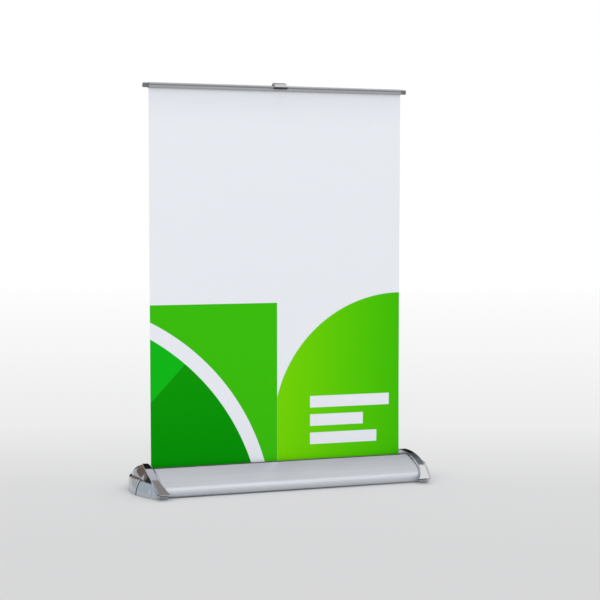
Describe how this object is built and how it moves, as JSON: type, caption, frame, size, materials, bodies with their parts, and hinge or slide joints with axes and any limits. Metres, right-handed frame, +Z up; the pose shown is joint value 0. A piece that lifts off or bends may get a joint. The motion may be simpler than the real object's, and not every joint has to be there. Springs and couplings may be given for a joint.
{
  "type": "roll-up banner stand",
  "caption": "Tabletop roll-up banner stand: a sprung film roller in a low base, a top rail and a telescopic pole that holds the rail up.",
  "frame": {"origin": "centre of the base's footprint, on the table", "axes": "+X right along the base seen from the front, -Y to the front (the printed side), +Z up"},
  "size_m": [0.2484, 0.075, 0.3191],
  "materials": {
    "satin_aluminium": "satin anodised extrusion",
    "rail_aluminium": "satin anodised extrusion",
    "tube_aluminium": "drawn tube",
    "cap_chrome": "bright chrome over plastic",
    "clip_chrome": "bright chrome",
    "black_plastic": "fine moulded texture",
    "white_plastic": "moulded",
    "steel": "plated steel",
    "rubber": "matt",
    "printed_film": "satin film, white with green print",
    "plain_film": "satin white film",
    "tape": "adhesive tape"
  },
  "bodies": {
    "base": {"base_housing": "satin_aluminium", "end_plate_left": "black_plastic", "end_plate_right": "black_plastic", "end_cap_left": "cap_chrome", "end_cap_right": "cap_chrome", "plate_screws_left": "steel", "plate_screws_right": "steel", "foot_pads": "rubber", "slot_guide": "black_plastic", "spring_arbor": "steel", "torsion_spring": "steel", "idler_pin": "steel", "pole_socket": "black_plastic", "socket_screw": "steel", "film_leader": "plain_film", "graphic_film": "printed_film"},
    "roller": {"roller_tube": "tube_aluminium", "spring_plug": "black_plastic", "idle_plug": "black_plastic", "leader_tape": "tape", "film_wrap": "plain_film"},
    "top_rail": {"rail_profile": "rail_aluminium", "clamp_strip": "rail_aluminium", "film_tape": "tape", "rail_plug_left": "black_plastic", "rail_plug_right": "black_plastic"},
    "pole_lower": {"pole_foot": "black_plastic", "pole_lower_tube": "tube_aluminium", "lower_collar": "black_plastic"},
    "pole_middle": {"middle_bush": "white_plastic", "pole_middle_tube": "tube_aluminium", "middle_collar": "black_plastic"},
    "pole_upper": {"upper_bush": "white_plastic", "pole_upper_rod": "steel", "clip_hub": "black_plastic", "rail_clip": "clip_chrome"}
  },
  "joints": [
    {"name": "rail_slide", "type": "slide", "parent": "base", "child": "top_rail", "axis": [0, 0, 1], "range_m": [-0.29, 0], "deforming": ["graphic_film"]},
    {"name": "roller_spin", "type": "hinge", "parent": "base", "child": "roller", "pos_m": [0, 0.01089, 0.00811], "axis": [1, 0, 0], "range_deg": [-3330, 0]},
    {"name": "pole_lift", "type": "slide", "parent": "base", "child": "pole_lower", "axis": [0, 0, 1], "range_m": [0, 0.03]},
    {"name": "middle_slide", "type": "slide", "parent": "pole_lower", "child": "pole_middle", "axis": [0, 0, 1], "range_m": [-0.08, 0]},
    {"name": "upper_slide", "type": "slide", "parent": "pole_middle", "child": "pole_upper", "axis": [0, 0, 1], "range_m": [-0.08, 0]}
  ],
  "couplings": [
    {"joint": "roller_spin", "follows": "rail_slide", "rad_per_m": 200},
    {"joint": "middle_slide", "follows": "rail_slide", "ratio": 0.27586},
    {"joint": "upper_slide", "follows": "rail_slide", "ratio": 0.27586}
  ]
}
